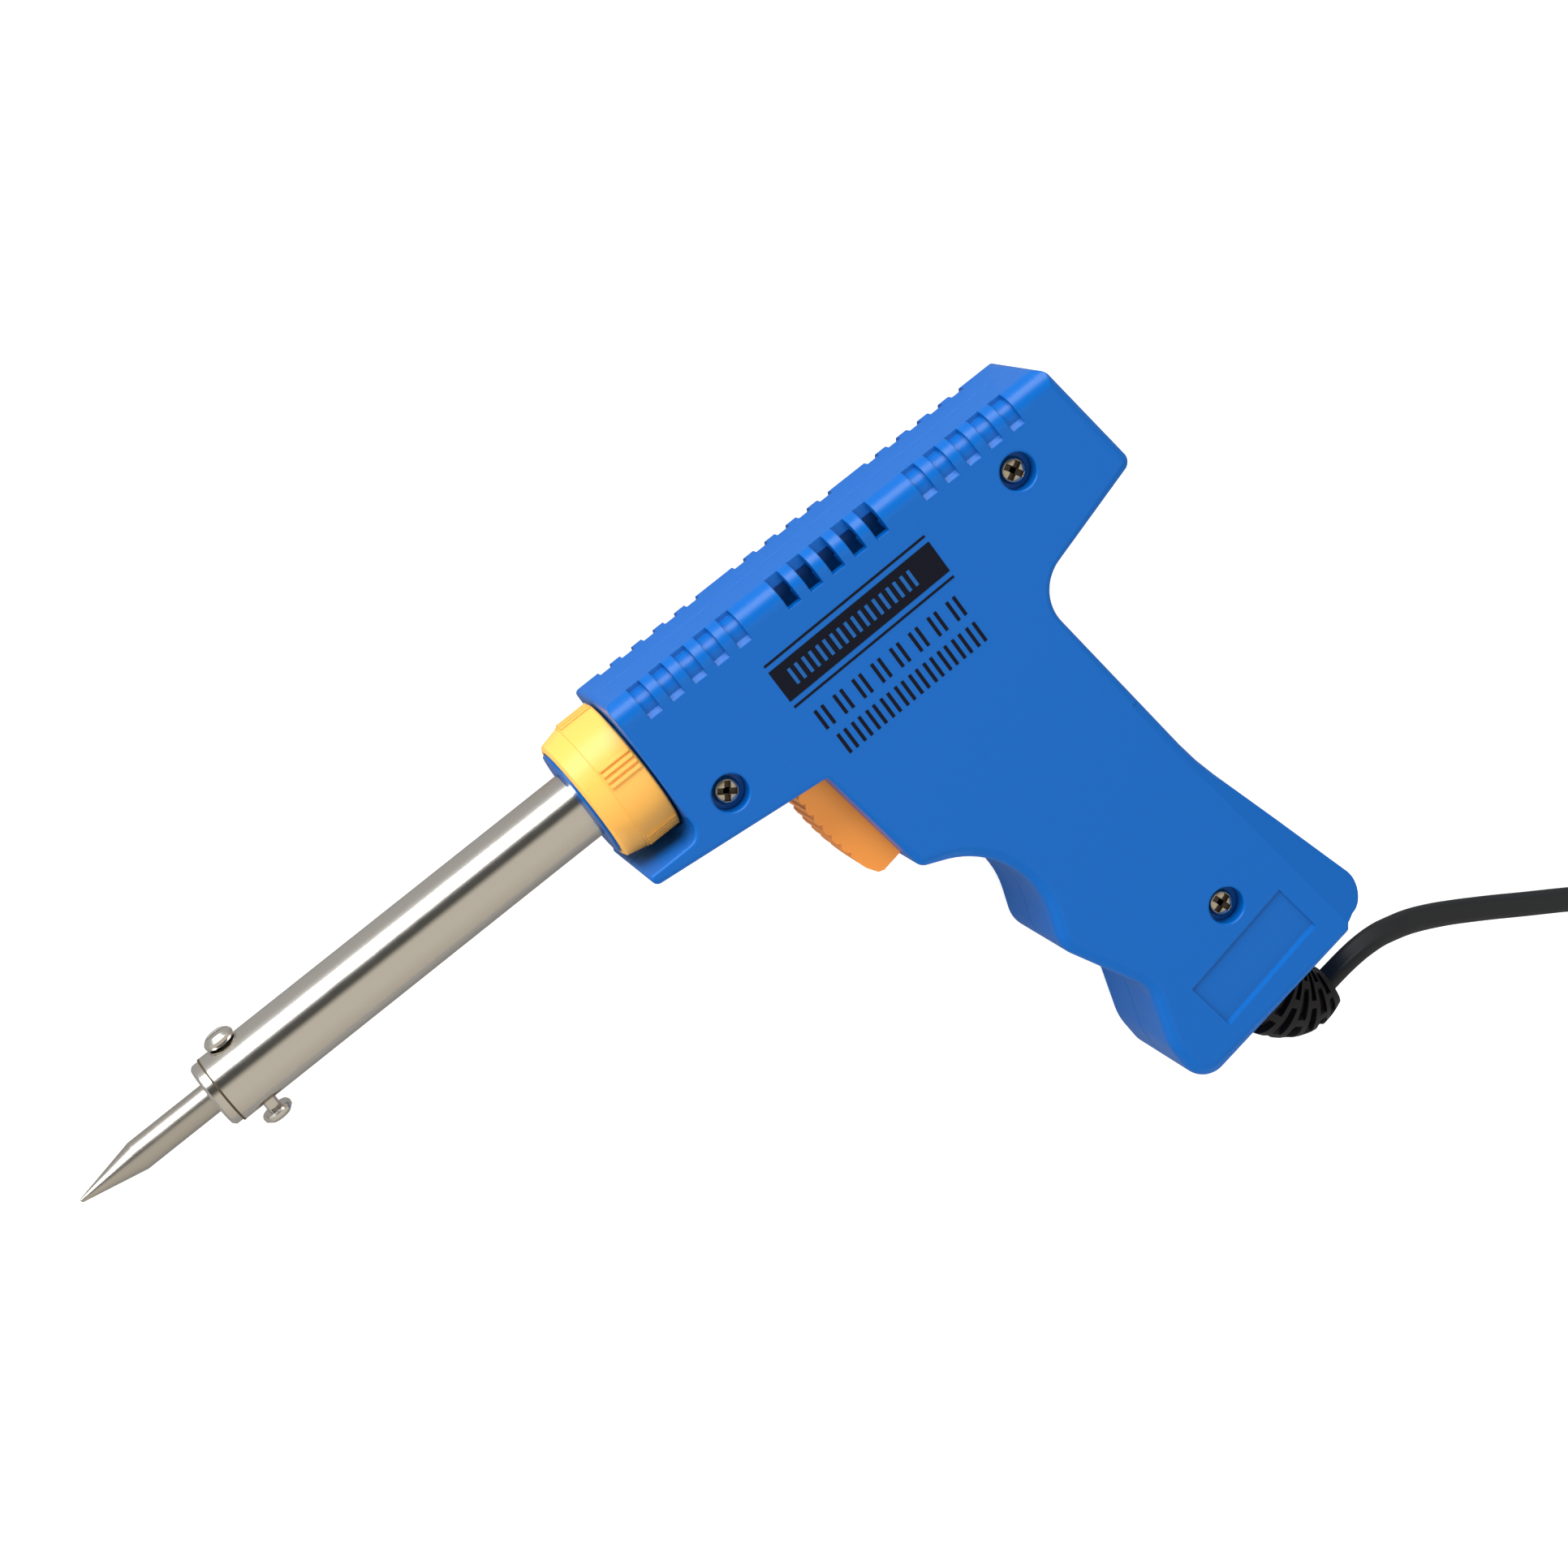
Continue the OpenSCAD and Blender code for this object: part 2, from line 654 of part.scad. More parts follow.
module cord_tie()
    color("dimgray") intersection() {
        tie_path(0.05);
        translate([coil_at.x, coil_at.y, floor_z]) rotate_extrude($fn = 96)
            translate([coil_r - coil_half, 0]) square([2 * coil_half, coil_h]);
    }

pin_gap = 19;
pin_r = 2;

module plug_body()
    color("black") translate([plug_x, plug_y, plug_axis_z]) {
        translate([0, 0, -6.9]) linear_extrude(13.8) polygon([
            [-6, -2], [6, -2], [12.5, 6], [17.6, 18], [17.6, 26], [13.5, 32], [-13.5, 32],
            [-17.6, 26], [-17.6, 18], [-12.5, 6]]);
        rotate([90, 0, 0]) cylinder(r1 = 5, r2 = 3.4, h = 11);
    }

module plug_pins()
    color("silver") translate([plug_x, plug_y + 32, plug_axis_z])
        for (s = [-1, 1])
            translate([s * pin_gap / 2, 0, 0]) rotate([-90, 0, 0]) {
                cylinder(r = pin_r, h = 17.5);
                translate([0, 0, 17.5]) cylinder(r1 = pin_r, r2 = 1.1, h = 1.5);
            }

place() left_shell();
place() right_shell();
place() housing_screws();
place() collar_ring();
place() barrel_tube();
place() tip_socket();
place() soldering_tip();
place() tip_clamp_screws();
place() heater_former();
place() heater_winding();
place() mica_sleeve();
place() rear_bead();
place() heater_leads();
place() terminal_block();
place() terminal_screws();
place() trigger();
place() trigger_spring();
place() switch_body();
place() switch_plunger();
place() switch_terminals();
place() power_diode();
place() switched_wire();
place() neutral_wire();
place() live_wire();
place() inner_lead();
place() cord_clamp();
place() cord_clamp_screws();
place() strain_relief();
place() mains_lead();
place() cord_coil();
place() cord_tie();
place() plug_lead();
place() plug_body();
place() plug_pins();
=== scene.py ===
from math import acos, atan2, ceil, cos, degrees, pi, radians, sin, tan
import bmesh
import bpy
from mathutils import Matrix, Vector


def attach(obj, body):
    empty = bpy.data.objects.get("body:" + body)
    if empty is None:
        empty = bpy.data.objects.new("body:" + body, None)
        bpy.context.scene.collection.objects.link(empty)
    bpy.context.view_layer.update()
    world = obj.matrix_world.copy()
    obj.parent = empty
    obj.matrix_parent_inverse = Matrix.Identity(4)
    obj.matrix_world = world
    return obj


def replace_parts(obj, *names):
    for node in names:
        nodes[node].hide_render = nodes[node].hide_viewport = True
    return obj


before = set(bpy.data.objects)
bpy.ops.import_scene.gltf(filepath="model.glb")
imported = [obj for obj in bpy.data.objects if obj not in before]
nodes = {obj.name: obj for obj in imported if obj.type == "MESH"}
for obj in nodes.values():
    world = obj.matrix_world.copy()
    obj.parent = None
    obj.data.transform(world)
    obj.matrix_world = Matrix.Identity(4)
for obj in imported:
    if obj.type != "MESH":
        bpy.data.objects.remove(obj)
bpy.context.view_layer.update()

# Design frame: millimetres, barrel axis along X, Y towards the vented back, parting plane z = 0.
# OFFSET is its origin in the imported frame, in millimetres.
OFFSET = Vector((10.7, 60.6213, 16.0))
TO_FRAME = Matrix.Scale(0.001, 4) @ Matrix.Translation(OFFSET)


def in_frame(x, y, z):
    """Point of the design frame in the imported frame's metres."""
    return (Vector((x, y, z)) + OFFSET) / 1000


# ------------------------------------------------------------------ camera
cam_data = bpy.data.cameras.new("camera")
cam_data.lens, cam_data.sensor_width = 78.76, 36
cam_data.clip_end = 10
camera = bpy.data.objects.new("camera", cam_data)
camera.location = (-0.0474325, 0.2414656, 0.6524426)
camera.rotation_euler = [radians(angle) for angle in (-10.024, -16.1584, -36.2179)]
bpy.context.scene.collection.objects.link(camera)
bpy.context.scene.camera = camera


# ------------------------------------------------------------------ mesh helpers
def add(name, mesh, body, look, smooth=35):
    """New object with one material that rides a body; smooth is the sharp-edge angle."""
    obj = bpy.data.objects.new(name, mesh)
    bpy.context.scene.collection.objects.link(obj)
    mesh.materials.clear()
    mesh.materials.append(look)
    if smooth:
        mesh.shade_smooth()
        mesh.set_sharp_from_angle(angle=radians(smooth))
    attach(obj, body)
    return obj


def face_outwards(mesh, weld=False):
    bm = bmesh.new()
    bm.from_mesh(mesh)
    if weld:
        bmesh.ops.remove_doubles(bm, verts=bm.verts, dist=1e-5)
    bmesh.ops.recalc_face_normals(bm, faces=bm.faces)
    bm.to_mesh(mesh)
    bm.free()


def mesh_of(name, points, faces):
    mesh = bpy.data.meshes.new(name)
    mesh.from_pydata([tuple(p) for p in points], [], faces)
    mesh.validate()
    face_outwards(mesh)
    return mesh


def ring_faces(count, rings):
    """Faces of a closed tube of rings with the same number of points, with both caps."""
    faces = []
    for k in range(rings - 1):
        for i in range(count):
            j = (i + 1) % count
            faces.append((k * count + i, k * count + j, (k + 1) * count + j, (k + 1) * count + i))
    return faces + [tuple(range(count)), tuple(range((rings - 1) * count, rings * count))]


# ------------------------------------------------------------------ materials
MOTTLE_SCALE, NOISE_DETAIL, BUMP_STRENGTH, EDGE_SAMPLES = 300.0, 3.0, 0.5, 6


def material(name, color, rough, metal=0.0, spec=0.5, bump=None, mottled=0.0, edge=0.0):
    """Principled material; bump is (scale, depth in mm), mottled varies the roughness, and edge
    is the radius in mm of the softened edges."""
    look = bpy.data.materials.new(name)
    look.use_nodes = True
    look.diffuse_color = (*color, 1)
    tree = look.node_tree
    shader = tree.nodes["Principled BSDF"]
    shader.inputs["Base Color"].default_value = (*color, 1)
    shader.inputs["Roughness"].default_value = rough
    shader.inputs["Metallic"].default_value = metal
    shader.inputs["Specular IOR Level"].default_value = spec
    takes_normal = shader
    if bump or mottled:
        where = tree.nodes.new("ShaderNodeTexCoord")
        noise = tree.nodes.new("ShaderNodeTexNoise")
        noise.inputs["Scale"].default_value = bump[0] if bump else MOTTLE_SCALE
        noise.inputs["Detail"].default_value = NOISE_DETAIL
        tree.links.new(where.outputs["Object"], noise.inputs["Vector"])
    if mottled:
        span = tree.nodes.new("ShaderNodeMapRange")
        span.inputs["To Min"].default_value = rough - mottled
        span.inputs["To Max"].default_value = rough + mottled
        tree.links.new(noise.outputs["Fac"], span.inputs["Value"])
        tree.links.new(span.outputs["Result"], shader.inputs["Roughness"])
    if bump:
        takes_normal = tree.nodes.new("ShaderNodeBump")
        takes_normal.inputs["Strength"].default_value = BUMP_STRENGTH
        takes_normal.inputs["Distance"].default_value = bump[1] / 1000
        tree.links.new(noise.outputs["Fac"], takes_normal.inputs["Height"])
        tree.links.new(takes_normal.outputs["Normal"], shader.inputs["Normal"])
    if edge:
        soft = tree.nodes.new("ShaderNodeBevel")
        soft.samples = EDGE_SAMPLES
        soft.inputs["Radius"].default_value = edge / 1000
        tree.links.new(soft.outputs["Normal"], takes_normal.inputs["Normal"])
    return look


BLUE = material("housing_blue", (0.0, 0.106, 0.43), 0.31, bump=(1800.0, 0.01), spec=0.24,
                mottled=0.04, edge=0.35)
ORANGE = material("accent_orange", (0.9, 0.31, 0.05), 0.36, spec=0.35, bump=(1500.0, 0.015),
                  edge=0.25)
AMBER = material("collar_amber", (0.90, 0.46, 0.09), 0.34, spec=0.35, bump=(1500.0, 0.015),
                 edge=0.25)
NICKEL = material("nickel_plate", (0.78, 0.75, 0.70), 0.16, metal=1.0, mottled=0.03, edge=0.15)
TIP_METAL = material("tip_plating", (0.62, 0.59, 0.54), 0.28, metal=1.0, mottled=0.06)
ZINC = material("zinc_plate", (0.66, 0.58, 0.44), 0.26, metal=1.0, mottled=0.08, edge=0.2)
# Painted shade: near-black brown for the screws' drive recesses and the gap at the tube's end
SHADE = material("recess_shade", (0.05, 0.032, 0.014), 0.5)
INK = material("print_ink", (0.004, 0.005, 0.012), 0.5, spec=0.12)
INK_BLUE = material("print_blue", (0.012, 0.10, 0.34), 0.5, spec=0.12)
JACKET = material("lead_jacket", (0.012, 0.014, 0.016), 0.45, spec=0.3, bump=(2500.0, 0.02))
RELIEF = material("relief_rubber", (0.006, 0.006, 0.008), 0.42, spec=0.3, bump=(2500.0, 0.02))
CERAMIC = material("white_ceramic", (0.85, 0.83, 0.77), 0.6)
HEATER = material("resistance_wire", (0.28, 0.26, 0.25), 0.45, metal=1.0)
MICA = material("mica_sheet", (0.5, 0.38, 0.22), 0.35)
SLEEVING = material("glass_sleeving", (0.8, 0.79, 0.73), 0.8)
TERMINAL = material("terminal_plastic", (0.8, 0.78, 0.7), 0.45)
BRASS = material("contact_brass", (0.78, 0.57, 0.22), 0.3, metal=1.0)
SPRING = material("spring_wire", (0.6, 0.6, 0.62), 0.3, metal=1.0)
DARK_PLASTIC = material("black_plastic", (0.02, 0.02, 0.022), 0.45)
RED = material("plunger_red", (0.6, 0.03, 0.02), 0.4)
WIRE_BROWN = material("wire_brown", (0.16, 0.05, 0.02), 0.45)
WIRE_BLUE = material("wire_blue", (0.02, 0.08, 0.4), 0.45)

# ------------------------------------------------------------------ mains lead
# Routes list x, y, z in the design frame and the section's turn in degrees
LEAD_W, LEAD_T, LEAD_WAIST = 5.4, 3.4, 0.84
ROUTE_STEP = 2.2
FLOOR = -16.0
LEAD_Z = FLOOR + LEAD_T / 2
LEAD_ROUTE = [
    (87.4, -130.2, 0, 60), (92, -129.8, -0.4, 60), (97.5, -130, -1.6, 55),
    (103, -131.2, -3.5, 45), (107.5, -133.2, -5.6, 35), (112, -135.6, -7.7, 25),
    (117, -138.9, -10, 15), (122, -142.5, -12, 5), (126.5, -145.8, -13.3, 0),
    (131, -149, -14, 0), (137, -153.2, LEAD_Z, 0), (145.6, -159, LEAD_Z, 0),
    (154, -165, LEAD_Z, 0), (162, -171.5, LEAD_Z, 0), (169.5, -178, LEAD_Z, 0)]

# Coil: its centre, mean radius and the spacing of its columns and layers
COIL = (198, -157)
COIL_R, COLUMN, LAYER = 28.4, 5.6, 3.5
COIL_MIDDLE_Z = FLOOR + 5.25
# Cells of the coil's section in the order the lead fills them: column (1 is outside), layer
CELLS = [(1, 0), (0, 0), (-1, 0), (-1, 1), (-1, 2), (0, 2), (0, 1), (1, 1), (1, 2)]
# Degrees: the coil starts at START, and once a turn, at CROSS, the lead moves to its next cell
# over WIDE
START, CROSS, WIDE = 232.0, 205.0, 90.0
COIL_END = 360 * len(CELLS)
COIL_STEPS = 620
# The tie sits at an angle and pulls the turns together by a share, over a reach each way
TIE_ANGLE, TIE_REACH, TIE_PULL = 150, 16, 0.07

PLUG_X = COIL[0] + COIL_R + COLUMN
PLUG_Y = -104
PLUG_Z = FLOOR + 6.9
PLUG_ROUTE = [
    (PLUG_X, COIL[1] + 9, FLOOR + 8.8, 0), (PLUG_X, COIL[1] + 20, PLUG_Z, 0),
    (PLUG_X, COIL[1] + 32, PLUG_Z, 0), (PLUG_X, PLUG_Y - 10, PLUG_Z, 0)]


def section_frames(points, turns):
    """Side and up of the section at each point of a route, turned by its own angle."""
    out = []
    for i in range(len(points)):
        before, after = points[max(i - 1, 0)], points[min(i + 1, len(points) - 1)]
        heading = (after - before).normalized()
        side = heading.cross(Vector((0, 0, 1)))
        side = side.normalized() if side.length > 1e-6 else Vector((1, 0, 0))
        up = side.cross(heading)
        t = radians(turns[i])
        out.append((side * cos(t) + up * sin(t), up * cos(t) - side * sin(t)))
    return out


def sweep(name, points, turns, section):
    """Solid along points in metres; the section lists (across, up) in millimetres."""
    rings = []
    for point, (side, up) in zip(points, section_frames(points, turns)):
        rings += [point + (side * u + up * v) / 1000 for u, v in section]
    return mesh_of(name, rings, ring_faces(len(section), len(points)))


def smooth_route(route, step):
    """Catmull-Rom curve through a route's points, about step mm between its own points."""
    pts = [Vector(r) for r in route]
    pts = [2 * pts[0] - pts[1]] + pts + [2 * pts[-1] - pts[-2]]
    out = []
    for a, b, c, d in zip(pts, pts[1:], pts[2:], pts[3:]):
        count = max(1, round((c - b).length / step))
        for k in range(count):
            t = k / count
            out.append(0.5 * (2 * b + (c - a) * t + (2 * a - 5 * b + 4 * c - d) * t * t
                              + (3 * b - a - 3 * c + d) * t ** 3))
    return out + [pts[-2]]


def figure_eight(width, thick):
    """Section of a flat two-core lead: two round cores and a slight waist between them."""
    r = thick / 2
    core = width / 2 - r
    out = []
    for side, start in ((1, 0), (-1, 180)):
        arc = [radians(start + 22 * k) for k in range(-4, 5)]
        out += [(side * core + r * cos(q), r * sin(q)) for q in arc]
        out.append((0, side * r * LEAD_WAIST))
    return out


def ease(t):
    return t * t * (3 - 2 * t)


def coil_point(angle):
    """Route point of the coil at an angle in degrees, counted on from START."""
    turns = (angle - CROSS + WIDE / 2) / 360
    k = min(max(int(turns), 0), len(CELLS) - 1)
    old, new = CELLS[max(k - 1, 0)], CELLS[k]
    share = ease(min(max((turns - int(turns)) * 360 / WIDE, 0), 1))
    column, layer = old[0] + (new[0] - old[0]) * share, old[1] + (new[1] - old[1]) * share
    away = min(abs((angle - TIE_ANGLE) % 360), abs((TIE_ANGLE - angle) % 360))
    pull = 1 - TIE_PULL * ease(max(0, 1 - away / TIE_REACH))
    r = COIL_R + COLUMN * column * pull
    q = radians(angle)
    return (COIL[0] + r * cos(q), COIL[1] + r * sin(q),
            COIL_MIDDLE_Z + (LAYER * (layer - 1)) * pull, 0)


first_angle = START + 4
coil_angles = [first_angle + (COIL_END - first_angle) * i / COIL_STEPS
               for i in range(1, COIL_STEPS + 1)]
route = smooth_route(LEAD_ROUTE, ROUTE_STEP) + [Vector(coil_point(a)) for a in coil_angles]
route += smooth_route(PLUG_ROUTE, ROUTE_STEP)[1:]
line = [in_frame(*p[:3]) for p in route]
lead = add("mains_lead_skin", sweep("mains_lead_skin", line, [p[3] for p in route],
                                    figure_eight(LEAD_W, LEAD_T)),
           "housing", JACKET, 60)
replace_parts(lead, "mains_lead", "cord_coil", "plug_lead")


# ------------------------------------------------------------------ solids and booleans
# A part is (points, faces) in the design frame. These turns lay a prism along X: one whose outline
# lists (y, z), one whose outline lists (z, y), and a round one.
YZ_ALONG_X = Matrix(((0, 0, 1, 0), (1, 0, 0, 0), (0, 1, 0, 0), (0, 0, 0, 1)))
ZY_ALONG_X = Matrix(((0, 0, 1, 0), (0, 1, 0, 0), (1, 0, 0, 0), (0, 0, 0, 1)))
ROUND_ALONG_X = Matrix.Rotation(pi / 2, 4, "Y")


def prism(outline, low, high, turn=None):
    """Upright prism from low to high, then turned by a matrix."""
    points = [Vector((x, y, z)) for z in (low, high) for x, y in outline]
    if turn:
        points = [turn @ p for p in points]
    return points, ring_faces(len(outline), 2)


def circle(r, count=64):
    return [(r * cos(2 * pi * k / count), r * sin(2 * pi * k / count)) for k in range(count)]


def box(low, high, turn=None):
    return prism([(low[0], low[1]), (high[0], low[1]), (high[0], high[1]), (low[0], high[1])],
                 low[2], high[2], turn)


def along_x(r, low, high):
    return prism(circle(r), low, high, ROUND_ALONG_X)


def lathe(profile, turn, count=64):
    """Solid of revolution about the local Z axis; the profile lists (r, z) from axis to axis."""
    points = [turn @ Vector((x * r, y * r, z)) for x, y in circle(1, count) for r, z in profile]
    m = len(profile)
    faces = [(k * m + i, k * m + i + 1, (k + 1) % count * m + i + 1, (k + 1) % count * m + i)
             for k in range(count) for i in range(m - 1)]
    return points, faces


def loft(rings):
    return [p for ring in rings for p in ring], ring_faces(len(rings[0]), len(rings))


def solid(*parts):
    """One closed mesh out of separate parts that stay clear of each other."""
    points, faces = [], []
    for part_points, part_faces in parts:
        faces += [tuple(i + len(points) for i in face) for face in part_faces]
        points += part_points
    mesh = mesh_of("solid", points, faces)
    face_outwards(mesh, weld=True)
    return mesh


def combine(mesh, *steps):
    """Apply booleans in order; each step is (operation, mesh)."""
    scene = bpy.context.scene.collection
    base = bpy.data.objects.new("work", mesh)
    scene.objects.link(base)
    tools = []
    for operation, other in steps:
        tool = bpy.data.objects.new("tool", other)
        scene.objects.link(tool)
        tools.append(tool)
        mod = base.modifiers.new("cut", "BOOLEAN")
        mod.operation, mod.solver, mod.object = operation, "EXACT", tool
    graph = bpy.context.evaluated_depsgraph_get()
    out = bpy.data.meshes.new_from_object(base.evaluated_get(graph))
    for obj in [base] + tools:
        bpy.data.objects.remove(obj)
    return out


# ------------------------------------------------------------------ housing shells
HALF, TOP, WALL, SHOULDER = 16.0, 15.3, 2.5, 5.0
FACE_X, SEAM_CHAMFER = 0.8, 0.22
# Corners of the side view: x, y, corner radius and the rounding of the side face's edge there
SIDE_OUTLINE = [
    (FACE_X, TOP, 1.5, 1.2), (107.7, TOP, 3, 2.4), (112, -10.9, 2.4, 2), (81.1, -19.4, 9, 1.2),
    (88.6, -68, 60, 2.4), (103.9, -114.4, 5.5, 2.4), (95.2, -115.6, 0.6, 0.6),
    (94.6, -117.1, 1.2, 1), (51.4, -124.2, 5.5, 3), (50.6, -112.5, 12, 2.6),
    (54.3, -99.3, 7, 2.6), (44.4, -80.8, 6.5, 2.6), (51.7, -58.4, 19, 2.6),
    (31.4, -48.6, 2.5, 2), (27, -22.2, 1, 0.8),
    (-11.7, -17.8, 1.4, 1.1), (-12.2, -15.4, 0.9, 0.7), (FACE_X, -15.4, 3, 0.8)]
CAVITY_OUTLINE = [
    (3.3, TOP - WALL), (104.8, TOP - WALL), (109.1, -8.9), (78.6, -17.2), (79.4, -27.5),
    (86, -69), (99, -107), (94.5, -112.6), (57, -119.4), (53.9, -112), (57.5, -99),
    (48, -80.6), (50.6, -70.5), (50, -62.5), (46, -53.2), (34.1, -47.4), (29.9, -20),
    (3.3, -16.8)]
SCREWS = [(91.9, 2.1), (10.2, -12.3), (76.6, -95.6)]
HEAD_SEAT, COUNTERBORE_R, COLUMN_R, BOSS_R = 11.8, 3.8, 5.2, 3.6
# Screw holes as (r, z): counterbored right through the left shell, blind in the right one
LEFT_HOLE = [(0, -1), (1.6, -1), (1.6, HEAD_SEAT), (COUNTERBORE_R, HEAD_SEAT),
             (COUNTERBORE_R, 15.75), (4.1, 16.05), (4.1, 18), (0, 18)]
RIGHT_HOLE = [(0, -1), (1.5, -1), (1.5, 10), (0, 10)]
# Round forms about the barrel's axis: radius, and where they start and end
NOSE, SADDLE, COLLAR_POCKET = (11.7, -12.7, FACE_X + 1), (12, 3, 7.2), (15.25, -13, FACE_X)
TUBE_HOLE, FLANGE_GROOVE = (7.1, -20, 8), (9.4, 3.5, 5.3)
# Three groups of five vents; those of the middle group are open
VENT_GROUPS, VENTS_EACH, VENT_PITCH, VENT_W = (7.9, 41.6, 75.3), 5, 5.4, 3.0
VENT_LOW, VENT_DEPTH = 8.9, 1.1
VENT_END_LEFT, VENT_END_RIGHT = 11.3, 9.3
# Low and high corners of boxes, then where the trigger's guides and the block's rests begin
BAFFLES = [((38, 9.2, 11.6), (68, 10.8, 13.8)), ((37.6, 6, 7.5), (68.2, 13.4, 8.9))]
TRIGGER_SLOT = ((-4, -12.5, -1), (3.2, 12.1, 7.4))
GUIDE_X, REST_X, RIB_T = (14.5, 27.5), (23, 34), 2
TRIGGER = Matrix.Translation((29.4, -34.5, 0)) @ Matrix.Rotation(radians(9.2), 4, "Z")
FOOT_AT, FOOT_TILT = Vector((76, -120.2, 0)), 9.5
FOOT_OUT = (Matrix.Translation(FOOT_AT) @ Matrix.Rotation(radians(FOOT_TILT), 4, "Z")
            @ Matrix.Rotation(pi / 2, 4, "X"))
BASE_HOLE = [(0, -6), (8.9, -6), (8.9, 0), (9.7, 0), (9.7, 3), (0, 3)]
# Sloping band along the rear of the grip, and the sunk panel near its foot
FACET = (Matrix.Translation((83.9, -50, HALF)) @ Matrix.Rotation(radians(-80.4), 4, "Z")
         @ Matrix.Rotation(radians(-25), 4, "X"))
PANEL = (Matrix.Translation((75.1, -108.1, HALF)) @ Matrix.Rotation(radians(10.2), 4, "Z")
         @ YZ_ALONG_X)
PANEL_SECTION = [(-5.9, 0), (-5.1, -0.5), (5.6, -0.4), (5.7, 1), (-5.9, 1)]
PANEL_HALF = 13.3


def rounded_outline(corners, step):
    """Outline with rounded corners: per point its place, outward normal and edge rounding."""
    out = []
    for i, (px, py, r, edge) in enumerate(corners):
        p = Vector((px, py))
        a, b = Vector(corners[i - 1][:2]), Vector(corners[(i + 1) % len(corners)][:2])
        u, v = (a - p).normalized(), (b - p).normalized()
        half = acos(u.dot(v)) / 2
        centre = p + (u + v).normalized() * r / sin(half)
        first = p + u * r / tan(half) - centre
        way = -1 if (p - a).cross(b - p) < 0 else 1
        turn = pi - 2 * half
        count = max(1, ceil(degrees(turn) / step))
        for k in range(count + 1):
            q = atan2(first.y, first.x) + way * turn * k / count
            m = Vector((cos(q), sin(q)))
            out.append((centre + r * m, m * -way, edge))
    return out


def outer_body():
    """Side view lofted from the parting plane to the side face, with its edge rounded."""
    outline = rounded_outline(SIDE_OUTLINE, 5)

    def ring(inset, z):
        return [Vector((p.x - m.x * inset(e), p.y - m.y * inset(e), z(e))) for p, m, e in outline]

    rings = [ring(lambda e: SEAM_CHAMFER, lambda e: 0.0), ring(lambda e: 0.0, lambda e: SEAM_CHAMFER)]
    for q in (radians(7.5 * k) for k in range(13)):
        rings.append(ring(lambda e: e * (1 - cos(q)), lambda e: HALF - e * (1 - sin(q))))
    return loft(rings)


def shoulder_cutter(inset):
    """Everything outside the rounded top shoulder."""
    r = SHOULDER - inset
    y, z = TOP - inset - r, HALF - inset - r
    arc = [(z + r * cos(q), y + r * sin(q)) for q in (radians(5 * k) for k in range(19))]
    section = [(z + r + 4, y)] + arc + [(z, y + r + 4), (z + r + 4, y + r + 4)]
    return prism(section, -30, 140, ZY_ALONG_X)


def facet_cutter(inset):
    """Everything outside the sloping band."""
    return box((0, 0, 0), (80, 20, 9), Matrix.Translation((0, 0, -inset)) @ FACET)


def vent(x, end, is_open):
    """Cutter of one vent; end is how far in it runs across the top."""
    low, high = x - VENT_W / 2, x + VENT_W / 2
    outside = [(TOP + 1, end), (TOP + 1, HALF + 1), (VENT_LOW, HALF + 1)]
    if is_open:
        return prism([(VENT_LOW, end)] + outside, low, high, YZ_ALONG_X)
    r = SHOULDER - VENT_DEPTH
    floor_line = [(TOP - SHOULDER + r * sin(q), HALF - SHOULDER + r * cos(q))
                  for q in (radians(7.5 * k) for k in range(13))]
    form = [(VENT_LOW, HALF + 0.01), (VENT_LOW + 1, HALF - VENT_DEPTH)]
    form += [(y, z) for y, z in floor_line if z > end]
    form += [(TOP - VENT_DEPTH, end)] + outside
    return prism(form, low, high, YZ_ALONG_X)


def half_round(r, low, high):
    """Half cylinder along X, on the shell's side of the parting plane."""
    arc = [(r * cos(q), r * sin(q)) for q in (radians(-90 + 5 * k) for k in range(37))]
    return prism(arc, low, high, ZY_ALONG_X)


def inner_ribs():
    """Vent baffles, trigger guides and the rests of the terminal block."""
    ribs = [box(low, high) for low, high in BAFFLES]
    ribs += [box((x, -9, 6.7), (x + RIB_T, 7, HALF - 1), TRIGGER) for x in GUIDE_X]
    return ribs + [box((x, -7, 8.2), (x + RIB_T, 5, HALF - 1)) for x in REST_X]


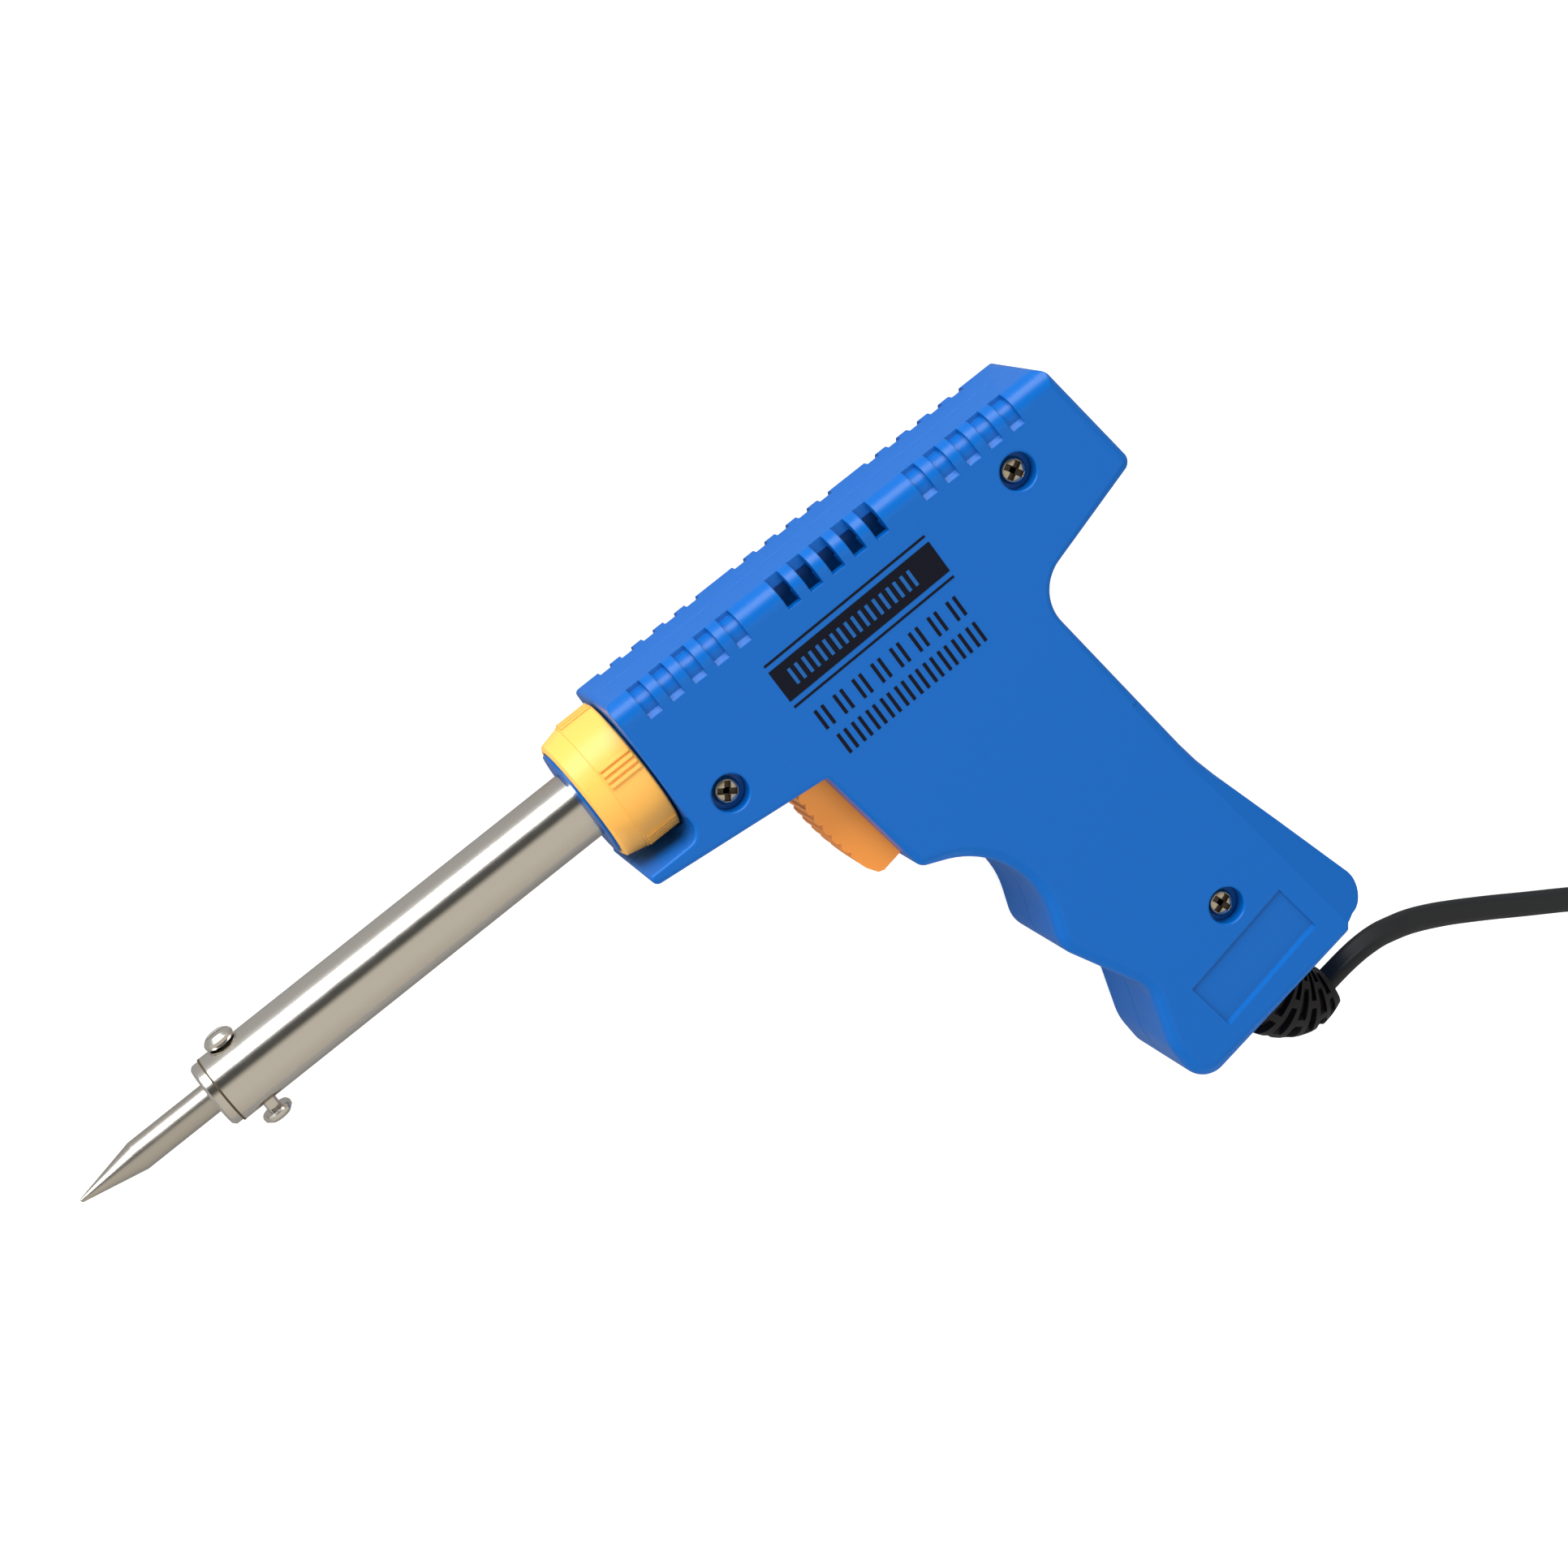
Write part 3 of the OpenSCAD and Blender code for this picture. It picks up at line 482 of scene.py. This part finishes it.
def shell(left):
    """One half of the housing; the right one is built on the left side and mirrored."""
    vent_end = VENT_END_LEFT if left else VENT_END_RIGHT
    post_r = COLUMN_R if left else BOSS_R
    cavity = combine(solid(prism(CAVITY_OUTLINE, -1, HALF - WALL)),
                     ("DIFFERENCE", solid(shoulder_cutter(WALL))),
                     ("DIFFERENCE", solid(facet_cutter(WALL))))
    posts = [prism([(x + u, y + v) for u, v in circle(post_r)], 0.05, HALF - 1)
             for x, y in SCREWS]
    vents = [vent(group + i * VENT_PITCH, vent_end, group == VENT_GROUPS[1])
             for group in VENT_GROUPS for i in range(VENTS_EACH)]
    trigger_slot = box(*TRIGGER_SLOT, TRIGGER)
    panel = prism(PANEL_SECTION, -PANEL_HALF, PANEL_HALF, PANEL)
    base_hole = lathe(BASE_HOLE, FOOT_OUT)
    hole, around = (LEFT_HOLE, 48) if left else (RIGHT_HOLE, 32)
    holes = [lathe(hole, Matrix.Translation((x, y, 0)), around) for x, y in SCREWS]
    mesh = combine(
        solid(outer_body()),
        ("DIFFERENCE", solid(shoulder_cutter(0))),
        ("DIFFERENCE", cavity),
        ("DIFFERENCE", solid(along_x(*COLLAR_POCKET))),
        ("UNION", solid(half_round(*NOSE), *inner_ribs())),
        ("UNION", solid(half_round(*SADDLE))),
        ("UNION", solid(*posts)),
        ("DIFFERENCE", solid(facet_cutter(0))),
        ("DIFFERENCE", solid(*vents)),
        ("DIFFERENCE", solid(along_x(*TUBE_HOLE))),
        ("DIFFERENCE", solid(along_x(*FLANGE_GROOVE))),
        ("DIFFERENCE", solid(trigger_slot, panel, base_hole)),
        ("DIFFERENCE", solid(*holes)))
    if not left:
        mesh.transform(Matrix.Diagonal((1, 1, -1, 1)))
        mesh.flip_normals()
    mesh.transform(TO_FRAME)
    return mesh


for name, left in (("left_shell", True), ("right_shell", False)):
    piece = add(name + "_skin", shell(left), "housing", BLUE, 18)
    mod = piece.modifiers.new("weights", "WEIGHTED_NORMAL")
    mod.keep_sharp, mod.weight = True, 80
    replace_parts(piece, name)


# ------------------------------------------------------------------ print on the side face
PRINT_AT = Matrix.Translation((49.7, -1.55, HALF + 0.005)) @ Matrix.Rotation(radians(0.9), 4, "Z")
PRINT_W, BAND_H, RULE_GAP, RULE_H = 40.0, 7.2, 1.35, 0.5
INK_T, MARK_LIFT = 0.05, 0.055
STROKE_HALF_W, STROKE_HALF_GAP = 0.36, 0.85


def thin_piece(name, parts, look):
    """Parts of the design frame as one flat-shaded piece that rides the housing."""
    mesh = solid(*parts)
    mesh.transform(TO_FRAME)
    return add(name, mesh, "housing", look, 0)


def bar(y, height):
    """Flat printed bar over the print's whole width, centred on y."""
    return box((-PRINT_W / 2, y - height / 2, 0.0), (PRINT_W / 2, y + height / 2, INK_T), PRINT_AT)


def strokes(first, step, count, y, height, lift=0.0):
    """Row of plain marks that stand for a line of print: upright strokes in pairs."""
    out = []
    for k in range(count):
        for side in (-STROKE_HALF_GAP, STROKE_HALF_GAP):
            place = PRINT_AT @ Matrix.Translation((first + step * k + side, y, lift))
            out.append(box((-STROKE_HALF_W, -height / 2, 0), (STROKE_HALF_W, height / 2, INK_T),
                           place))
    return out


rule_y = BAND_H / 2 + RULE_GAP
thin_piece("print_panel", [bar(0, BAND_H), bar(rule_y, RULE_H), bar(-rule_y, RULE_H)], INK)
thin_piece("print_panel_marks", strokes(-15.6, 3.5, 9, 0, 3.6, MARK_LIFT), INK_BLUE)
thin_piece("print_rows", strokes(-16.4, 4.72, 8, -10.3, 4.5) + strokes(-15.6, 3.6, 10, -16.9, 4.6),
           INK)


# ------------------------------------------------------------------ housing screws
SCREW_PROFILE = [(0, -20), (1.45, -20), (1.45, 0), (2.7, 0), (2.7, 0.9), (2.4, 1.5), (1.7, 1.84),
                 (0, 1.9)]
SCREW_TURNS = (30, 55, 20)
DRIVE_HALF_L, DRIVE_HALF_W, DRIVE_FLOOR = 2.05, 0.62, 0.75


def cross(place, low, high):
    """Two crossed bars with the outline of a screw's drive recess."""
    return [box((-DRIVE_HALF_L, -DRIVE_HALF_W, low), (DRIVE_HALF_L, DRIVE_HALF_W, high),
                place @ Matrix.Rotation(angle, 4, "Z")) for angle in (0, pi / 2)]


for i, ((x, y), turn) in enumerate(zip(SCREWS, SCREW_TURNS), 1):
    place = Matrix.Translation((x, y, HEAD_SEAT)) @ Matrix.Rotation(radians(turn), 4, "Z")
    screw = combine(solid(lathe(SCREW_PROFILE, place, 48)),
                    *[("DIFFERENCE", solid(arm)) for arm in cross(place, DRIVE_FLOOR, 3)])
    screw.transform(TO_FRAME)
    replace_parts(add("housing_screw_" + str(i), screw, "housing", ZINC, 30),
                "housing_screws")
    # painted shade: dark crosses on the floor of each drive recess, where shade falls
    one_way, other_way = cross(place, DRIVE_FLOOR - 0.05, DRIVE_FLOOR + 0.05)
    thin_piece("screw_recess_" + str(i), [one_way], SHADE)
    thin_piece("screw_recess_cross_" + str(i), [other_way], SHADE)

# ------------------------------------------------------------------ painted shade: dark ring in the gap at the tube's end
GAP_OUTER, GAP_INNER = (7.34, -100.05, -99.62), (6.6, -101, -99)
gap_shade = combine(solid(along_x(*GAP_OUTER)), ("DIFFERENCE", solid(along_x(*GAP_INNER))))
gap_shade.transform(TO_FRAME)
add("tube_end_shade_ring", gap_shade, "housing", SHADE, 30)


# ------------------------------------------------------------------ strain relief
# Radii along the boot, its bend's radius and how far it turns
RELIEF_RADII = [9.4, 9.4, 9.3, 9.1, 8.8, 8.4, 7.8, 7, 5.8, 4.6]
RELIEF_BEND, RELIEF_TURN = 12.7, 77.0
BOOT_RINGS, BOOT_AROUND = 78, 64
NECK_PROFILE = [(0, -6.3), (9.8, -6.3), (9.8, -4.4), (8.7, -4.4), (8.7, -0.01), (0, -0.01)]
# Slots: the first row's place, spacing, number and open share of the rows along the boot, then the
# pitch and the rib between two slots in degrees, and the depth
FIRST_ROW, ROW_STEP, ROWS, ROW_FILL = 0.2, 0.135, 6, 0.52
SLOT_PITCH, SLOT_RIB, SLOT_DEPTH = 60, 8, 1.7


def boot_radius(s):
    last = len(RELIEF_RADII) - 1
    k = min(int(s * last), last - 1)
    return RELIEF_RADII[k] + (RELIEF_RADII[k + 1] - RELIEF_RADII[k]) * (s * last - k)


def relief_mesh():
    """Bent boot with staggered slots cut across it."""
    tilt = radians(FOOT_TILT)
    bend_centre = FOOT_AT + RELIEF_BEND * Vector((cos(tilt), sin(tilt), 0))
    points = []
    for i in range(BOOT_RINGS + 1):
        s = i / BOOT_RINGS
        r = boot_radius(s)
        q = radians(180 + FOOT_TILT + RELIEF_TURN * s)
        out = Vector((cos(q), sin(q), 0))
        centre = Vector((bend_centre.x + RELIEF_BEND * cos(q),
                         bend_centre.y + RELIEF_BEND * sin(q), 0))
        row = (s - FIRST_ROW) / ROW_STEP
        nearest = round(row)
        slotted = 0 <= nearest < ROWS and abs(row - nearest) * 2 < ROW_FILL
        for j in range(BOOT_AROUND):
            a = 2 * pi * j / BOOT_AROUND
            along_slot = (degrees(a) + SLOT_PITCH / 2 * (nearest % 2)) % SLOT_PITCH
            inside = SLOT_RIB < along_slot < SLOT_PITCH - SLOT_RIB
            cut = SLOT_DEPTH * r / RELIEF_RADII[0] if slotted and inside else 0
            points.append(in_frame(*(centre + (out * cos(a) + Vector((0, 0, 1)) * sin(a))
                                     * (r - cut))))
    return mesh_of("strain_relief_skin", points, ring_faces(BOOT_AROUND, BOOT_RINGS + 1))


neck = solid(lathe(NECK_PROFILE, FOOT_OUT, 48))
neck.transform(TO_FRAME)
boot = add("strain_relief_skin", relief_mesh(), "housing", RELIEF, 40)
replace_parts(boot, "strain_relief")
add("strain_relief_neck", neck, "housing", RELIEF, 40)


# ------------------------------------------------------------------ looks of the CAD nodes
def soften(name, width, angle):
    """Join a CAD node's split corners and round its edges a little."""
    obj = nodes[name]
    weld = obj.modifiers.new("weld", "WELD")
    weld.merge_threshold = 0.00001
    round_off = obj.modifiers.new("round_off", "BEVEL")
    round_off.width, round_off.segments = width / 1000, 3
    round_off.limit_method, round_off.angle_limit = "ANGLE", radians(angle)
    even = obj.modifiers.new("even", "WEIGHTED_NORMAL")
    even.keep_sharp = True


soften("plug_body", 1.6, 40)

LOOKS = {
    "left_shell": BLUE, "right_shell": BLUE, "collar_ring": AMBER, "trigger": ORANGE,
    "barrel_tube": NICKEL, "tip_socket": NICKEL, "soldering_tip": TIP_METAL,
    "tip_clamp_screws": NICKEL, "housing_screws": ZINC, "cord_clamp_screws": ZINC,
    "heater_former": CERAMIC, "rear_bead": CERAMIC, "heater_winding": HEATER,
    "mica_sleeve": MICA, "heater_leads": SLEEVING, "terminal_block": TERMINAL,
    "terminal_screws": BRASS, "switch_terminals": BRASS, "trigger_spring": SPRING,
    "switch_body": DARK_PLASTIC, "switch_plunger": RED, "power_diode": DARK_PLASTIC,
    "switched_wire": WIRE_BROWN, "live_wire": WIRE_BROWN, "neutral_wire": WIRE_BLUE,
    "inner_lead": JACKET, "cord_clamp": DARK_PLASTIC, "strain_relief": RELIEF,
    "cord_tie": RELIEF, "plug_body": JACKET, "plug_pins": NICKEL, "mains_lead": JACKET,
    "cord_coil": JACKET, "plug_lead": JACKET}
for name, look in LOOKS.items():
    data = nodes[name].data
    for i in range(len(data.materials)):
        data.materials[i] = look


# ------------------------------------------------------------------ table, light and room
TABLE_HALF, TABLE_GLOW = 9, 0.75
TABLE_COLOR, TABLE_MIRRORED = (0.6, 0.6, 0.6), (0.3, 0.3, 0.3)


def table_material():
    """Pale table that glows to the camera alone and looks darker in reflections."""
    look = material("pale_floor", TABLE_COLOR, 0.8, spec=0.1)
    tree = look.node_tree
    shader = tree.nodes["Principled BSDF"]
    shader.inputs["Emission Color"].default_value = (1, 1, 1, 1)
    seen = tree.nodes.new("ShaderNodeLightPath")
    glow = tree.nodes.new("ShaderNodeMath")
    glow.operation = "MULTIPLY"
    glow.inputs[1].default_value = TABLE_GLOW
    tree.links.new(seen.outputs["Is Camera Ray"], glow.inputs[0])
    tree.links.new(glow.outputs["Value"], shader.inputs["Emission Strength"])
    shade = tree.nodes.new("ShaderNodeMix")
    shade.data_type = "RGBA"
    shade.inputs["A"].default_value = (*TABLE_COLOR, 1)
    shade.inputs["B"].default_value = (*TABLE_MIRRORED, 1)
    tree.links.new(seen.outputs["Is Glossy Ray"], shade.inputs["Factor"])
    tree.links.new(shade.outputs["Result"], shader.inputs["Base Color"])
    return look


corners = [(x * TABLE_HALF, y * TABLE_HALF, 0) for x, y in ((-1, -1), (1, -1), (1, 1), (-1, 1))]
floor_mesh = mesh_of("floor", corners, [(0, 1, 2, 3)])
floor_mesh.materials.append(table_material())
floor = bpy.data.objects.new("floor", floor_mesh)
bpy.context.scene.collection.objects.link(floor)


def area_light(name, place, size, power, glossy):
    """Rectangular light that looks at the object; glossy says if metal reflects it."""
    data = bpy.data.lights.new(name, "AREA")
    data.shape, data.size, data.size_y = "RECTANGLE", size[0], size[1]
    data.energy = power
    obj = bpy.data.objects.new(name, data)
    obj.location = place
    obj.rotation_euler = (-Vector(place)).to_track_quat("-Z", "Y").to_euler()
    obj.visible_glossy = glossy
    bpy.context.scene.collection.objects.link(obj)


area_light("key", (0.0, 1.7, 0.62), (2.6, 1.0), 52, True)
area_light("top_fill", (0.1, -0.2, 1.8), (1.6, 1.6), 10, False)
area_light("front_fill", (0.1, -1.6, 0.3), (1.2, 0.5), 14, False)
area_light("side_fill", (-1.5, 0.2, 0.5), (1.2, 0.9), 9, False)

# Colours of the room by the angle from straight up, towards the key where positive: warm grey
# behind and overhead, then a dark strip, then bright down to the table
ROOM = [(-90, (0.50, 0.46, 0.40)), (-35, (0.60, 0.56, 0.49)), (8, (0.60, 0.56, 0.49)),
        (22, (0.07, 0.07, 0.06)), (42, (0.06, 0.06, 0.06)), (58, (0.9, 0.9, 0.9)),
        (90, (0.8, 0.8, 0.8))]


def studio_room():
    world = bpy.data.worlds.new("studio")
    world.use_nodes = True
    tree = world.node_tree
    where = tree.nodes.new("ShaderNodeTexCoord")
    axes = tree.nodes.new("ShaderNodeSeparateXYZ")
    tilt = tree.nodes.new("ShaderNodeMath")
    tilt.operation = "ARCTAN2"
    span = tree.nodes.new("ShaderNodeMapRange")
    span.inputs["From Min"].default_value, span.inputs["From Max"].default_value = -pi, pi
    ramp = tree.nodes.new("ShaderNodeValToRGB")
    tree.links.new(where.outputs["Generated"], axes.inputs["Vector"])
    tree.links.new(axes.outputs["Y"], tilt.inputs[0])
    tree.links.new(axes.outputs["Z"], tilt.inputs[1])
    tree.links.new(tilt.outputs["Value"], span.inputs["Value"])
    tree.links.new(span.outputs["Result"], ramp.inputs["Fac"])
    tree.links.new(ramp.outputs["Color"], tree.nodes["Background"].inputs["Color"])
    tree.nodes["Background"].inputs["Strength"].default_value = 1.0
    stops = ramp.color_ramp.elements
    while len(stops) < len(ROOM):
        stops.new(0.5)
    for stop, (angle, color) in zip(stops, ROOM):
        stop.position, stop.color = 0.5 + angle / 360, (*color, 1)
    return world


bpy.context.scene.world = studio_room()
bpy.context.scene.view_settings.view_transform = "Standard"
